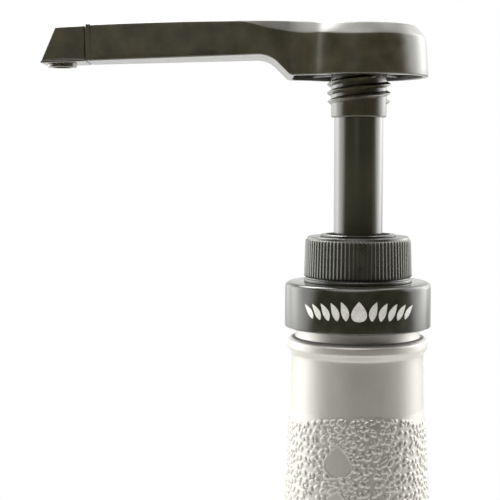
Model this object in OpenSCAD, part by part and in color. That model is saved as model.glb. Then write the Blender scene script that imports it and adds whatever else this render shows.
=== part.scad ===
// Condiment pump dispenser: a hand pump with a long spout, screwed through an adapter ring
// onto a blow-moulded sauce bottle.
// The pump axis is Z, the spout points along -X, and z = 0 is the plane the bottle stands on.

/* [Bottle] */
// Height of the bottle to the top of its mouth
bottle_h = 288; // [280:1:300]
// Radius of the straight body
body_r = 39.5; // [36:0.5:44]
// Height at which the body starts to close into the shoulder
body_top = 152; // [140:1:158]
// Wall thickness
bottle_wall = 1.2; // [0.8:0.1:1.6]
// Rise of the push-up under the base
push_up = 6; // [3:0.5:8]

/* [Adapter ring and closure] */
// Outer radius of the adapter ring
ring_r = 21.35; // [20.9:0.05:22.5]
// Height of the adapter ring
ring_h = 13.1; // [12:0.1:14]
// Outer radius of the closure's ribs at their foot
closure_r = 15.75; // [15.5:0.05:16.2]
// Height of the closure
closure_h = 13.1; // [12.9:0.1:13.5]
// Number of grip ribs
rib_count = 84; // [60:4:96]
// Pitch of both screw threads
screw_pitch = 4.23; // [4:0.01:4.4]

/* [Pump] */
// Dispensing stroke
stroke = 37.5; // [30:0.5:37.5]
// Outer radius of the stem
stem_r = 7.1; // [6.9:0.05:7.12]
// Bore radius of the pump chamber
chamber_r = 9.5; // [9.3:0.05:9.6]
// Radius of the inlet ball
inlet_ball_r = 4; // [3.6:0.1:4.2]
// Radius of the outlet ball
outlet_ball_r = 3.2; // [3:0.1:3.4]
// Lift of each ball from its seat
ball_lift = 1.6; // [1:0.1:1.8]
// Outer radius of the dip tube
dip_r = 4; // [3.6:0.1:4]
// Number of spring coils
spring_coils = 10; // [8:1:10]

/* [Head and spout] */
// Height of the head from its rim to its crown
head_h = 14.7; // [14:0.1:15.5]
// Radius of the press disc at its rim
disc_r = 19.9; // [19:0.1:21]
// Distance from the pump axis to the outlet
outlet_reach = 85.7; // [83:0.1:86.5]
// Bore radius of the outlet
outlet_r = 2.9; // [2.4:0.1:3.1]
// Number of stiffening ribs under the disc
head_ribs = 8; // [4:4:8]

/* [Hidden] */
$fn = 96;

black = [0.09, 0.09, 0.08];
silver = [0.72, 0.71, 0.68];
natural = [0.88, 0.88, 0.84];
steel = [0.62, 0.63, 0.65];
seal_grey = [0.35, 0.36, 0.36];

// Bottle neck
neck_r = 18;
bead_r = 20.5;
bead_z = bottle_h - 16.2;
bead_h = 3.1;
throat_r = 19.2;
texture_z = bottle_h - 36.2;
cone_top_r = 19.85;
cone_foot_r = 23;
cone_foot_z = 188;
mouth_r = 16;
standing_r = 35.5;
push_up_r = 27;

// Gaskets and adapter ring
gasket_t = 0.9;
plate_t = 2.4;
ring_top = bottle_h + gasket_t + plate_t;
ring_bottom = ring_top - ring_h;
skirt_r = 19.4;
small_neck_r = 12.5;
small_bore_r = 11.3;
small_neck_top = ring_top + 8.7;
neck_gasket_t = 1;
bottle_thread_z = bottle_h - 6.7;
small_thread_z = ring_top + 3;
thread_drop = 1.6;

// Closure, chaplet and housing
closure_z = ring_top + 0.15;
closure_top = closure_z + closure_h;
closure_plate_t = 1.75;
closure_bore_r = 14;
closure_hole_r = 10.5;
flange_z = small_neck_top + neck_gasket_t;
flange_t = 1.4;
flange_r = 13.3;
housing_r = 11;
barrel_r = 10.6;
upper_bore_r = 10.2;
chaplet_r = 10.15;
chaplet_lip_r = 11;
chaplet_top = closure_top + 0.6;
chaplet_bore_r = 8.4;
chaplet_foot = 288.6;
guide_r = stem_r + 0.08;
guide_z = 290.5;
guide_t = 2.5;
lock_lead = 5.12;

// Chamber, valves and dip tube
chamber_z = 217.3;
seat_apex = 211;
inlet_hole_r = 2.6;
socket_z = 198;
seat_gap = 0.05;
inlet_ball_z = seat_apex + inlet_ball_r * sqrt(2) + seat_gap;
cage_top = 225;
dip_foot = 9;
outlet_seat_apex = 280;
outlet_hole_r = 2;
outlet_ball_z = outlet_seat_apex + outlet_ball_r * sqrt(2) + seat_gap;

// Stem, piston and spring
shoulder_z = 288.4;
stem_foot_z = 278.2;
stem_bore_r = 4.8;
journal_r = 5.5;
piston_z = 278.4;
piston_h = 9.8;
foot_flange_r = 7;
foot_flange_t = 2.4;
wire_r = 0.6;
coil_r = 8.35;

// Head
rim_z = 350.3;
crown_z = rim_z + head_h;
chamfer_z = crown_z - 3.8;
chamfer_r = disc_r - 0.6;
crown_r = disc_r - 4.1;
skirt_t = 1.1;
ceiling_z = crown_z - 3.2;
cove_z = crown_z - 6.5;
cove_r = disc_r - 3.4;
fillet_r = 14.4;
toe_x = -19.4;
boss_r = 8.05;
boss_z = 338.9;
lock_r = 9.15;
socket_top = 350;
stem_gasket_t = 1;
stem_top = socket_top - stem_gasket_t;
arm_end = -78;
arm_bottom_z = 356.1;
arm_slope = 0.031;
channel_w = 9;
channel_h = 5.2;
channel_z = 360;
tip_end = -91;
tip_lip_t = 0.5;

// Half-width of the arm at x, and the heights of its top and its underside
function arm_half_w(x) = 11.4 + 0.0787 * (x + 31);
function arm_top(x) = crown_z + 0.5 - 1.2 * pow(min(0, x + 35) / 52, 2) - 0.5 * pow(max(0, x + 35) / 35, 2);
function arm_under(x) = arm_bottom_z + arm_slope * (x + 30.5);

// Middle of the fillet between the arm and the disc, and where it meets each of them, in plan
arm_taper = 0.0787;
arm_tilt = sqrt(1 + pow(arm_taper, 2));
fillet_reach = arm_half_w(0) + fillet_r * arm_tilt;
fillet_b = 2 * fillet_reach * arm_taper;
fillet_c = pow(fillet_reach, 2) - pow(disc_r + fillet_r, 2);
fillet_x = (-fillet_b - sqrt(pow(fillet_b, 2) - 4 * pow(arm_tilt, 2) * fillet_c)) / (2 * pow(arm_tilt, 2));
fillet_y = fillet_reach + arm_taper * fillet_x;
fillet_on_arm = [fillet_x + fillet_r * arm_taper / arm_tilt, fillet_y - fillet_r / arm_tilt];
fillet_on_disc = [fillet_x, fillet_y] * disc_r / (disc_r + fillet_r);

// Points of an arc about (cx, cy), from angle a to angle b
function arc(cx, cy, r, a, b, n = 8) =
    [for (i = [0 : n]) let (t = a + (b - a) * i / n) [cx + r * cos(t), cy + r * sin(t)]];

// A smooth S between two points, tangent to Z at both ends
function s_curve(r0, z0, r1, z1, n = 12) =
    [for (i = [0 : n]) let (t = i / n) [r0 + (r1 - r0) * (3 * t * t - 2 * t * t * t), z0 + (z1 - z0) * t]];

// A ring with a rectangular section
module ring(r_out, r_in, z, h) {
    translate([0, 0, z])
        difference() {
            cylinder(r = r_out, h = h);
            translate([0, 0, -1])
                cylinder(r = r_in, h = h + 2);
        }
}

// A helical ridge from radius r0 to r1, with its middle at height z where the angle is a0.
// r0 lies inside the wall that carries it, and both ends run out to nothing.
module screw_ridge(r0, r1, lead, turns, z, a0, w0, w1) {
    steps = ceil(turns * 32);
    run_out = 3;
    function depth(i) = min(1, min(i, steps - i) / run_out);
    section = [for (i = [0 : steps])
        let (a = a0 + 360 * turns * i / steps,
             zc = z + lead * turns * i / steps,
             d = 0.08 + 0.92 * depth(i),
             r = r0 + (r1 - r0) * d)
        [[r0 * cos(a), r0 * sin(a), zc - w0 / 2],
         [r * cos(a), r * sin(a), zc - w1 / 2 * d],
         [r * cos(a), r * sin(a), zc + w1 / 2 * d],
         [r0 * cos(a), r0 * sin(a), zc + w0 / 2]]];
    points = [for (s = section) for (p = s) p];
    side = r1 > r0 ? 1 : -1;
    walls = [for (i = [0 : steps - 1]) for (k = [0 : 3])
        let (a = 4 * i + k, b = 4 * i + (k + 1) % 4)
        for (t = [[a, b, b + 4], [a, b + 4, a + 4]]) side > 0 ? t : [t[2], t[1], t[0]]];
    first = [[0, 3, 2], [0, 2, 1]];
    last = [for (t = first) [for (k = [2, 1, 0]) t[k] + 4 * steps]];
    ends = concat(first, last);
    polyhedron(points, concat(walls, side > 0 ? ends : [for (t = ends) [t[2], t[1], t[0]]]));
}

// ---- Bottle ----

function bottle_outside() = concat(
    [[push_up_r, 0], [standing_r, 0]],
    arc(standing_r, 4, body_r - standing_r, -80, 0),
    [[body_r, 22], [body_r - 0.5, 23.5], [body_r - 0.5, body_top - 13.5], [body_r, body_top - 12]],
    s_curve(body_r, body_top, cone_foot_r, cone_foot_z),
    [[cone_top_r, texture_z], [throat_r + 0.1, texture_z + 0.6], [throat_r, bead_z - 2]],
    [[throat_r + 0.3, bead_z - 1], [bead_r - 0.3, bead_z + 0.5], [bead_r, bead_z + 1], [bead_r, bead_z + bead_h - 1]],
    [[bead_r - 0.9, bead_z + bead_h], [neck_r, bead_z + bead_h + 0.3], [neck_r, bottle_h]]);

function bottle_inside() = concat(
    [[mouth_r, bottle_h], [mouth_r, bead_z + bead_h]],
    [[throat_r - bottle_wall, bead_z - 2], [throat_r - bottle_wall, texture_z]],
    [[cone_foot_r - bottle_wall, cone_foot_z]],
    [for (i = [11 : -1 : 0]) s_curve(body_r - bottle_wall, body_top - 1, cone_foot_r - bottle_wall, cone_foot_z - 1)[i]],
    [[body_r - bottle_wall - 0.5, body_top - 13], [body_r - bottle_wall - 0.5, 6]],
    [[standing_r - 1, bottle_wall], [push_up_r, bottle_wall + 0.4], [push_up_r - 6, push_up + bottle_wall]],
    [[0, push_up + bottle_wall], [0, push_up], [push_up_r - 6.5, push_up]]);

module bottle() {
    color(silver) {
        rotate_extrude($fn = 128)
            polygon(concat(bottle_outside(), bottle_inside()));
        screw_ridge(neck_r - 0.4, neck_r + 1.1, screw_pitch, 1.3, bottle_thread_z, 0, 2.2, 1);
    }
}

// ---- Adapter ring ----

module bottle_gasket() {
    color(seal_grey)
        ring(19.1, mouth_r - 1, bottle_h, gasket_t);
}

module adapter_ring() {
    edge = 0.5;
    color(black) {
        rotate_extrude($fn = 128)
            polygon([[small_bore_r, ring_top - plate_t], [skirt_r, ring_top - plate_t],
                     [skirt_r, ring_bottom], [ring_r - 0.3, ring_bottom], [ring_r, ring_bottom + edge],
                     [ring_r - 0.05, ring_top - edge], [ring_r - edge, ring_top], [small_neck_r, ring_top],
                     [small_neck_r, small_neck_top], [small_bore_r, small_neck_top]]);
        screw_ridge(skirt_r + 0.4, neck_r + 0.35, screw_pitch, 1.2,
                    bottle_thread_z - thread_drop, 0, 2.2, 1);
        screw_ridge(small_neck_r - 0.4, small_neck_r + 1.1, screw_pitch, 1, small_thread_z, 0, 2.2, 1);
    }
}

// ---- Closure ----

module neck_gasket() {
    color(seal_grey)
        ring(flange_r, housing_r + 0.15, small_neck_top, neck_gasket_t);
}

module closure_rib(angle) {
    rib_d = 0.45;
    foot = closure_z + 1.4;
    top_r = closure_r - 0.3;
    rotate([0, 0, angle])
        translate([0, 0.35, 0])
            rotate([90, 0, 0])
                linear_extrude(0.7)
                    polygon([[closure_r - 1, foot], [closure_r - 0.05, foot],
                             [top_r, closure_top - 0.9], [top_r - rib_d, closure_top - 0.5],
                             [closure_r - 1, closure_top - 0.5]]);
}

module closure() {
    core_r = closure_r - 0.65;
    color(black) {
        rotate_extrude($fn = 128)
            polygon([[closure_bore_r, closure_z], [closure_r - 0.3, closure_z], [closure_r, closure_z + 0.3],
                     [closure_r, closure_z + 0.7], [closure_r - 0.3, closure_z + 0.95],
                     [core_r, closure_z + 1.05], [core_r, closure_top - 0.7], [core_r - 0.7, closure_top],
                     [closure_hole_r, closure_top], [closure_hole_r, closure_top - closure_plate_t],
                     [closure_bore_r, closure_top - closure_plate_t]]);
        for (i = [0 : rib_count - 1])
            closure_rib(360 * i / rib_count);
        screw_ridge(closure_bore_r + 0.4, small_neck_r + 0.35, screw_pitch, 1,
                    small_thread_z - thread_drop, 0, 2.2, 1);
    }
}

// ---- Chaplet and stem seal ----

module chaplet() {
    gland_r = 8.7;
    thread_root_r = 9.35;
    thread_foot = closure_top - 6.5;
    color(black) {
        rotate_extrude()
            polygon([[gland_r, chaplet_foot], [chaplet_r, chaplet_foot], [chaplet_r, closure_top + 0.1],
                     [chaplet_lip_r, closure_top + 0.1], [chaplet_lip_r, chaplet_top - 0.2],
                     [chaplet_lip_r - 0.3, chaplet_top], [thread_root_r, chaplet_top],
                     [thread_root_r, thread_foot], [chaplet_bore_r, thread_foot - 0.8],
                     [chaplet_bore_r, guide_z + guide_t], [guide_r, guide_z + guide_t],
                     [guide_r, guide_z], [gland_r, guide_z]]);
        for (start = [0, 180])
            screw_ridge(thread_root_r + 0.3, chaplet_bore_r, lock_lead, 0.9, thread_foot + 0.9, start, 1.3, 0.5);
    }
}

module stem_seal() {
    color(seal_grey)
        rotate_extrude()
            polygon([[stem_r + 0.04, chaplet_foot + 0.5], [stem_r + 0.6, chaplet_foot + 0.2],
                     [8.65, chaplet_foot + 0.2], [8.65, guide_z], [stem_r + 0.3, guide_z],
                     [stem_r + 0.5, chaplet_foot + 1.1]]);
}

// ---- Pump housing, inlet valve and dip tube ----

module pump_housing() {
    cone_r = chamber_z - seat_apex;
    color(natural)
        rotate_extrude()
            polygon([[inlet_hole_r, seat_apex + inlet_hole_r], [cone_r, chamber_z], [chamber_r, chamber_z],
                     [chamber_r, 288.3], [upper_bore_r, 288.5], [upper_bore_r, flange_z + flange_t],
                     [flange_r, flange_z + flange_t], [flange_r, flange_z], [housing_r, flange_z],
                     [housing_r, 287], [barrel_r, 286], [barrel_r, 214], [5.6, 209],
                     [5.6, socket_z], [dip_r + 0.03, socket_z], [dip_r + 0.03, seat_apex], [inlet_hole_r, seat_apex]]);
}

module ball_cage() {
    fin_t = 1.4;
    fin_in = inlet_ball_r + 0.3;
    z0 = chamber_z + 0.05;
    bar_z = inlet_ball_z + inlet_ball_r + ball_lift + 0.15;
    color(natural) {
        ring(chamber_r - 0.06, 8.4, z0, cage_top - z0);
        for (a = [0, 90, 180, 270])
            rotate([0, 0, a])
                translate([fin_in, -fin_t / 2, z0])
                    cube([8.8 - fin_in, fin_t, cage_top - z0]);
        for (a = [0, 90])
            rotate([0, 0, a])
                translate([-8.8, -fin_t / 2, bar_z])
                    cube([17.6, fin_t, cage_top - bar_z]);
    }
}

module inlet_ball() {
    color(steel)
        translate([0, 0, inlet_ball_z])
            sphere(r = inlet_ball_r);
}

module dip_tube() {
    color(natural)
        difference() {
            ring(dip_r, dip_r - 1, dip_foot, seat_apex - 0.1 - dip_foot);
            translate([0, 0, dip_foot])
                rotate([0, 40, 0])
                    translate([-12, -12, -14])
                        cube([24, 24, 14]);
        }
}

// ---- Piston, spring and stem ----

module return_spring() {
    z0 = cage_top + wire_r;
    z1 = piston_z - wire_r;
    sides = 6;
    steps = spring_coils * 20;
    dead = 0.1;
    // Closed end coils: the helix lies almost flat over the first and last tenth
    function rise(t) = t < dead ? t * 0.25 : t > 1 - dead ? 1 - (1 - t) * 0.25
        : dead * 0.25 + (t - dead) * (1 - dead * 0.5) / (1 - 2 * dead);
    points = [for (i = [0 : steps]) let (t = i / steps, a = 360 * spring_coils * t, z = z0 + (z1 - z0) * rise(t))
        for (k = [0 : sides - 1]) let (b = 360 * k / sides, r = coil_r + wire_r * cos(b))
        [r * cos(a), r * sin(a), z + wire_r * sin(b)]];
    walls = [for (i = [0 : steps - 1]) for (k = [0 : sides - 1])
        let (a = sides * i + k, b = sides * i + (k + 1) % sides)
        for (t = [[a, b + sides, b], [a, a + sides, b + sides]]) t];
    color(steel)
        polyhedron(points, concat(walls, [[for (k = [0 : sides - 1]) k]],
                                  [[for (k = [sides - 1 : -1 : 0]) sides * steps + k]]));
}

module piston() {
    lip = chamber_r - 0.06;
    bore = journal_r + 0.07;
    top = piston_z + piston_h;
    color(natural)
        rotate_extrude()
            polygon([[bore, piston_z], [lip - 0.2, piston_z], [lip, piston_z + 0.8], [lip - 0.7, piston_z + 2.6],
                     [lip - 0.7, top - 2.6], [lip, top - 0.8], [lip - 0.2, top], [lip - 1, top],
                     [lip - 1.7, top - 2.4], [journal_r + 1.6, top - 2.4], [journal_r + 1.4, top], [bore, top]]);
}

module stem() {
    bar_t = 1.4;
    bar_z = outlet_ball_z + outlet_ball_r + ball_lift + 0.15;
    color(black) {
        rotate_extrude()
            polygon([[stem_bore_r, stem_foot_z], [journal_r, stem_foot_z], [journal_r, shoulder_z],
                     [stem_r, shoulder_z], [stem_r, stem_top - 0.4], [stem_r - 0.4, stem_top],
                     [stem_bore_r, stem_top]]);
        translate([-stem_bore_r - 0.3, -bar_t / 2, bar_z])
            cube([2 * stem_bore_r + 0.6, bar_t, 1.6]);
    }
}

module stem_foot() {
    color(natural)
        rotate_extrude()
            polygon([[outlet_hole_r, stem_foot_z - foot_flange_t], [foot_flange_r - 0.4, stem_foot_z - foot_flange_t],
                     [foot_flange_r, stem_foot_z - foot_flange_t + 0.4], [foot_flange_r, stem_foot_z],
                     [stem_bore_r - 0.02, stem_foot_z], [stem_bore_r - 0.02, outlet_seat_apex + 4],
                     [4, outlet_seat_apex + 4], [outlet_hole_r, outlet_seat_apex + outlet_hole_r]]);
}

module outlet_ball() {
    color(steel)
        translate([0, 0, outlet_ball_z])
            sphere(r = outlet_ball_r);
}

module stem_gasket() {
    color(seal_grey)
        ring(stem_r, stem_bore_r, stem_top, stem_gasket_t);
}

// ---- Head and spout ----

// Side view of the arm, drawn in X and Z: the underside runs down in an S to the rim of the disc
module arm_side() {
    top = [for (i = [0 : 16]) let (x = arm_end * (1 - i / 16)) [x, arm_top(x)]];
    swoop = arc(-29.3, arm_bottom_z - 8, 8, 90, 42);
    toe = arc(toe_x, rim_z + 2, 2, 222, 270, 5);
    under = concat([[0, rim_z]], [for (i = [5 : -1 : 0]) toe[i]], [for (i = [8 : -1 : 0]) swoop[i]]);
    polygon(concat([[arm_end, arm_under(arm_end)]], top, under));
}

module arm_plan() {
    neck_x = fillet_on_arm[0];
    polygon([for (p = [[arm_end, 1], [neck_x, 1], [neck_x, -1], [arm_end, -1]])
        [p[0], p[1] * arm_half_w(p[0])]]);
    polygon([[neck_x - 0.1, 10.2], [0, 10.2], [0, -10.2], [neck_x - 0.1, -10.2]]);
}

// Fills the inner corner between the arm and the disc, on the +Y side
module fillet_web() {
    difference() {
        translate([0, 0, rim_z])
            linear_extrude(head_h + 2)
                polygon([fillet_on_arm, [fillet_x, fillet_y], fillet_on_disc, fillet_on_disc * 0.6,
                         [fillet_on_arm[0], 5]]);
        translate([fillet_x, fillet_y, rim_z - 1])
            cylinder(r = fillet_r, h = head_h + 4);
        translate([fillet_x, fillet_y, crown_z - 3.4])
            cylinder(r1 = fillet_r, r2 = fillet_r + 3.4, h = 4.4);
    }
}

// Takes off the arm's upper edge on the +Y side, from nothing to the height of the disc's bevel
module arm_bevel_cut() {
    x0 = -34;
    x1 = fillet_on_arm[0] + 0.01;
    w = arm_half_w(x1);
    z = arm_top(x1);
    points = [[x0, arm_half_w(x0) + 0.01, arm_top(x0) + 0.01], [x1, w - 1.7, z + 0.01], [x1, w + 0.01, z - 3.3],
              [x1, w + 4, z + 4]];
    polyhedron(points, [[0, 1, 3], [0, 3, 2], [0, 2, 1], [1, 2, 3]]);
}

module arm_body() {
    difference() {
        union() {
            translate([0, 0, rim_z - 1])
                linear_extrude(head_h + 3)
                    arm_plan();
            fillet_web();
            mirror([0, 1, 0])
                fillet_web();
        }
        arm_bevel_cut();
        mirror([0, 1, 0])
            arm_bevel_cut();
    }
}

// The disc's underside is hollow, with a shallow pocket where the arm runs in
module head_hollow(grow = 0) {
    translate([0, 0, rim_z - 1])
        cylinder(r = disc_r - skirt_t + grow, h = cove_z - rim_z + 1);
    translate([0, 0, cove_z])
        cylinder(r1 = disc_r - skirt_t + grow, r2 = cove_r + grow, h = ceiling_z - cove_z);
}

module toe_pocket() {
    x1 = -13;
    translate([0, 0, rim_z - 1])
        linear_extrude(5.6)
            polygon([for (p = [[toe_x + 1, 1], [x1, 1], [x1, -1], [toe_x + 1, -1]])
                [p[0], p[1] * (arm_half_w(p[0]) - skirt_t)]]);
}

module pump_head() {
    color(black)
        union() {
            difference() {
                union() {
                    translate([0, 0, rim_z])
                        cylinder(r1 = disc_r, r2 = chamfer_r, h = chamfer_z - rim_z);
                    translate([0, 0, chamfer_z])
                        cylinder(r1 = chamfer_r, r2 = crown_r, h = crown_z - chamfer_z);
                    intersection() {
                        arm_body();
                        translate([0, 30, 0])
                            rotate([90, 0, 0])
                                linear_extrude(60)
                                    arm_side();
                    }
                }
                head_hollow();
                toe_pocket();
                translate([arm_end - 1, -channel_w / 2, channel_z - channel_h / 2])
                    cube([-arm_end, channel_w, channel_h]);
            }
            difference() {
                union() {
                    translate([0, 0, boss_z + 0.6])
                        cylinder(r = boss_r, h = crown_z - 1 - boss_z - 0.6);
                    translate([0, 0, boss_z])
                        cylinder(r1 = boss_r - 0.6, r2 = boss_r, h = 0.6);
                    intersection() {
                        head_hollow(0.4);
                        for (i = [0 : head_ribs - 1])
                            rotate([0, 0, 360 * i / head_ribs])
                                translate([boss_r - 1, -0.6, rim_z + 0.6])
                                    cube([disc_r - boss_r, 1.2, head_h]);
                    }
                    translate([1 - disc_r, -channel_w / 2 - 1.8, arm_bottom_z - 0.6])
                        cube([disc_r - 1, channel_w + 3.6, crown_z - 1 - arm_bottom_z]);
                    for (start = [150, 330])
                        screw_ridge(boss_r - 0.4, lock_r, lock_lead, 1.45, rim_z - 7.3, start, 1.5, 0.45);
                }
                translate([0, 0, boss_z - 1])
                    cylinder(r = stem_r + 0.03, h = socket_top - boss_z + 1);
                translate([0, 0, socket_top - 1])
                    cylinder(r = 4.4, h = channel_z - socket_top + 1);
                translate([1 - disc_r - 1, -channel_w / 2, channel_z - channel_h / 2])
                    cube([disc_r + 3.4, channel_w, channel_h]);
            }
        }
}

// Side view of the tip, with its end face raked back towards the top
module tip_side() {
    rake = 4.3;
    polygon(concat([[tip_end, arm_under(tip_end) + tip_lip_t]],
                   [for (i = [0 : 4]) let (x = tip_end + rake + (arm_end - tip_end - rake) * i / 4) [x, arm_top(x)]],
                   [[arm_end, arm_under(arm_end) + tip_lip_t]]));
}

module tip_plan(grow) {
    polygon([for (p = [[tip_end - grow, 1], [arm_end, 1], [arm_end, -1], [tip_end - grow, -1]])
        [p[0], p[1] * (arm_half_w(p[0]) + grow)]]);
}

module spout_tip() {
    spigot_l = 4;
    slack = 0.05;
    boss_out = 1.1;
    under = arm_under(-outlet_reach);
    color(black)
        difference() {
            union() {
                intersection() {
                    translate([0, 0, rim_z])
                        linear_extrude(head_h + 2)
                            tip_plan(0);
                    translate([0, 20, 0])
                        rotate([90, 0, 0])
                            linear_extrude(40)
                                tip_side();
                }
                translate([0, 0, under - 0.1])
                    linear_extrude(tip_lip_t + 0.5)
                        tip_plan(0.2);
                translate([arm_end - 1, slack - channel_w / 2, channel_z - channel_h / 2 + slack])
                    cube([spigot_l + 1, channel_w - 2 * slack, channel_h - 2 * slack]);
                translate([-outlet_reach, 0, under - boss_out])
                    cylinder(r = outlet_r + 1.2, h = 2);
            }
            translate([-outlet_reach, 0, under - boss_out - 1])
                cylinder(r = outlet_r, h = channel_z - under + 1);
            translate([-outlet_reach - 2, 1.2 - channel_w / 2, channel_z - channel_h / 2 + 1.1])
                cube([outlet_reach + arm_end + spigot_l + 3, channel_w - 2.4, channel_h - 2.2]);
        }
}

module tip_gasket() {
    color(seal_grey)
        translate([arm_end + 4, 0, channel_z])
            rotate([0, 90, 0])
                linear_extrude(0.6)
                    difference() {
                        square([channel_h - 0.1, channel_w - 0.1], center = true);
                        square([channel_h - 2.2, channel_w - 2.4], center = true);
                    }
}

bottle();
bottle_gasket();
adapter_ring();
neck_gasket();
closure();
chaplet();
stem_seal();
pump_housing();
ball_cage();
inlet_ball();
dip_tube();
return_spring();
piston();
stem();
stem_foot();
outlet_ball();
stem_gasket();
pump_head();
spout_tip();
tip_gasket();
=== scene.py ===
import math

import bmesh
import bpy
import numpy as np
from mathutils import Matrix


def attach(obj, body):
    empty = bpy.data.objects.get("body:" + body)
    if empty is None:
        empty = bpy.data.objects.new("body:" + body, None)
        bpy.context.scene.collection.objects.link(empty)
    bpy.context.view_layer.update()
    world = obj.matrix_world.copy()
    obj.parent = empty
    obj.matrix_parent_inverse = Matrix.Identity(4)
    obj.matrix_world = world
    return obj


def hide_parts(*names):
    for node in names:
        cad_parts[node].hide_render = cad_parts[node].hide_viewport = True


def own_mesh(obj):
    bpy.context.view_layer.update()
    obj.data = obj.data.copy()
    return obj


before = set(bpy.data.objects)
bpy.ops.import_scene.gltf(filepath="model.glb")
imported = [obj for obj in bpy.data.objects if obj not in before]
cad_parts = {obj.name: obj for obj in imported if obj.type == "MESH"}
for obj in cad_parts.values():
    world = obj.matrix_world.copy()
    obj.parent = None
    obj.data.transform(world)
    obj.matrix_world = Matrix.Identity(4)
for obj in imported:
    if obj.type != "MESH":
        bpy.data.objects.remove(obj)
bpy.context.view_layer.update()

MM = 0.001

# Heights and radii of the assembly, in millimetres, as the CAD has them
BELLY_R = 39.5
SHOULDER_FOOT = 152.0
SHOULDER_TOP = 188.0
NECK_FOOT_R = 22.95
NECK_TOP_R = 19.3
MOUTH_R = 18.0
BOTTLE_TOP = 288.0
RING_FOOT = 278.2
RING_TOP = 291.3
RING_R = 21.35
SMALL_NECK_TOP = 300.0
CLOSURE_FOOT = 291.4
CLOSURE_TOP = 304.5
CLOSURE_R = 15.75
SCREW_PITCH = 4.23
STEM_R = 7.1
STEM_TOP = 349.0
BOSS_FOOT = 338.9
BOSS_R = 8.05
LOCK_LEAD = 5.12
RIM_Z = 350.3
CROWN_Z = 365.0
DISC_R = 19.9
SKIRT_T = 1.05
OPENING_R = DISC_R - SKIRT_T
COVE_Z = 358.5
COVE_R = 16.3
CEILING_Z = 361.8
CHANNEL_HALF = 6.3
CHANNEL_FOOT = 355.5
ARM_END = -77.7
OUTLET_X = -85.7
OUTLET_R = 2.9
NOZZLE_OUT = 1.1
SPRING_FOOT = 225.0
SPRING_TOP = 278.4


# ---------------------------------------------------------------- mesh helpers

class Patchwork:
    """Collects patches of points, in millimetres, and welds them into one mesh."""

    def __init__(self):
        self.points = []
        self.faces = []

    def add(self, points, faces):
        """Takes in points, and faces that count from the first of them."""
        first = len(self.points)
        self.points.extend(tuple(float(c) for c in p) for p in points)
        self.faces.extend(tuple(first + i for i in face) for face in faces)

    def grid(self, rows, around=False):
        """A skin through rows of points, closed round each row where it goes around."""
        across = len(rows[0])
        points = [p for row in rows for p in row]
        last = across if around else across - 1
        faces = []
        for i in range(len(rows) - 1):
            for k in range(last):
                a = i * across + k
                b = i * across + (k + 1) % across
                faces.append((a, b, b + across, a + across))
        self.add(points, faces)

    def loft(self, rows):
        """A solid through closed sections, with a face at each end."""
        self.grid(rows, around=True)
        for row in (rows[0], rows[-1]):
            self.add(row, [tuple(range(len(row)))])

    def mirrored_grid(self, rows):
        """A skin on one side of the pump's middle plane and its mirror image."""
        self.grid(rows)
        self.grid([[(x, -y, z) for x, y, z in row] for row in rows])

    def build(self, name, weld=1e-4, sharp_deg=32):
        """The finished object, in metres, smooth but for edges sharper than an angle."""
        mesh = bpy.data.meshes.new(name)
        mesh.from_pydata([(x * MM, y * MM, z * MM) for x, y, z in self.points], [], self.faces)
        work = bmesh.new()
        work.from_mesh(mesh)
        bmesh.ops.remove_doubles(work, verts=work.verts, dist=weld * MM)
        bmesh.ops.dissolve_degenerate(work, edges=work.edges, dist=1e-7)
        bmesh.ops.recalc_face_normals(work, faces=work.faces)
        work.to_mesh(mesh)
        work.free()
        mesh.shade_smooth()
        mesh.set_sharp_from_angle(angle=math.radians(sharp_deg))
        obj = bpy.data.objects.new(name, mesh)
        bpy.context.scene.collection.objects.link(obj)
        return obj


def arc(cx, cz, radius, start, end, steps):
    """Points on an arc between two angles in degrees."""
    angles = [math.radians(start + (end - start) * i / steps) for i in range(steps + 1)]
    return [(cx + radius * math.cos(a), cz + radius * math.sin(a)) for a in angles]


def filleted(corners, closed=True, steps=5):
    """A polyline through corners (r, z, fillet radius), with each corner rounded."""
    out = []
    count = len(corners)
    for i, (x, z, radius) in enumerate(corners):
        if radius == 0 or (not closed and i in (0, count - 1)):
            out.append((x, z))
            continue
        here = np.array([x, z], float)
        back = np.array(corners[i - 1][:2], float) - here
        ahead = np.array(corners[(i + 1) % count][:2], float) - here
        room = 0.49 * min(np.linalg.norm(back), np.linalg.norm(ahead))
        back /= np.linalg.norm(back)
        ahead /= np.linalg.norm(ahead)
        half = 0.5 * math.acos(max(-1.0, min(1.0, float(back @ ahead))))
        reach = min(radius / math.tan(half), room)
        radius = reach * math.tan(half)
        middle = here + (back + ahead) / np.linalg.norm(back + ahead) * radius / math.sin(half)
        first = here + back * reach - middle
        last = here + ahead * reach - middle
        turn = math.atan2(first[0] * last[1] - first[1] * last[0], float(first @ last))
        start = math.atan2(first[1], first[0])
        for k in range(steps + 1):
            angle = start + turn * k / steps
            out.append((middle[0] + radius * math.cos(angle), middle[1] + radius * math.sin(angle)))
    return out


def turned(work, profile, segments=128, closed=True):
    """Turns a profile of (r, z) about the pump's axis."""
    ring = [2 * math.pi * k / segments for k in range(segments)]
    rows = [[(r * math.cos(a), r * math.sin(a), z) for a in ring] for r, z in profile]
    if closed:
        rows.append(rows[0])
    work.grid(rows, around=True)


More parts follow.
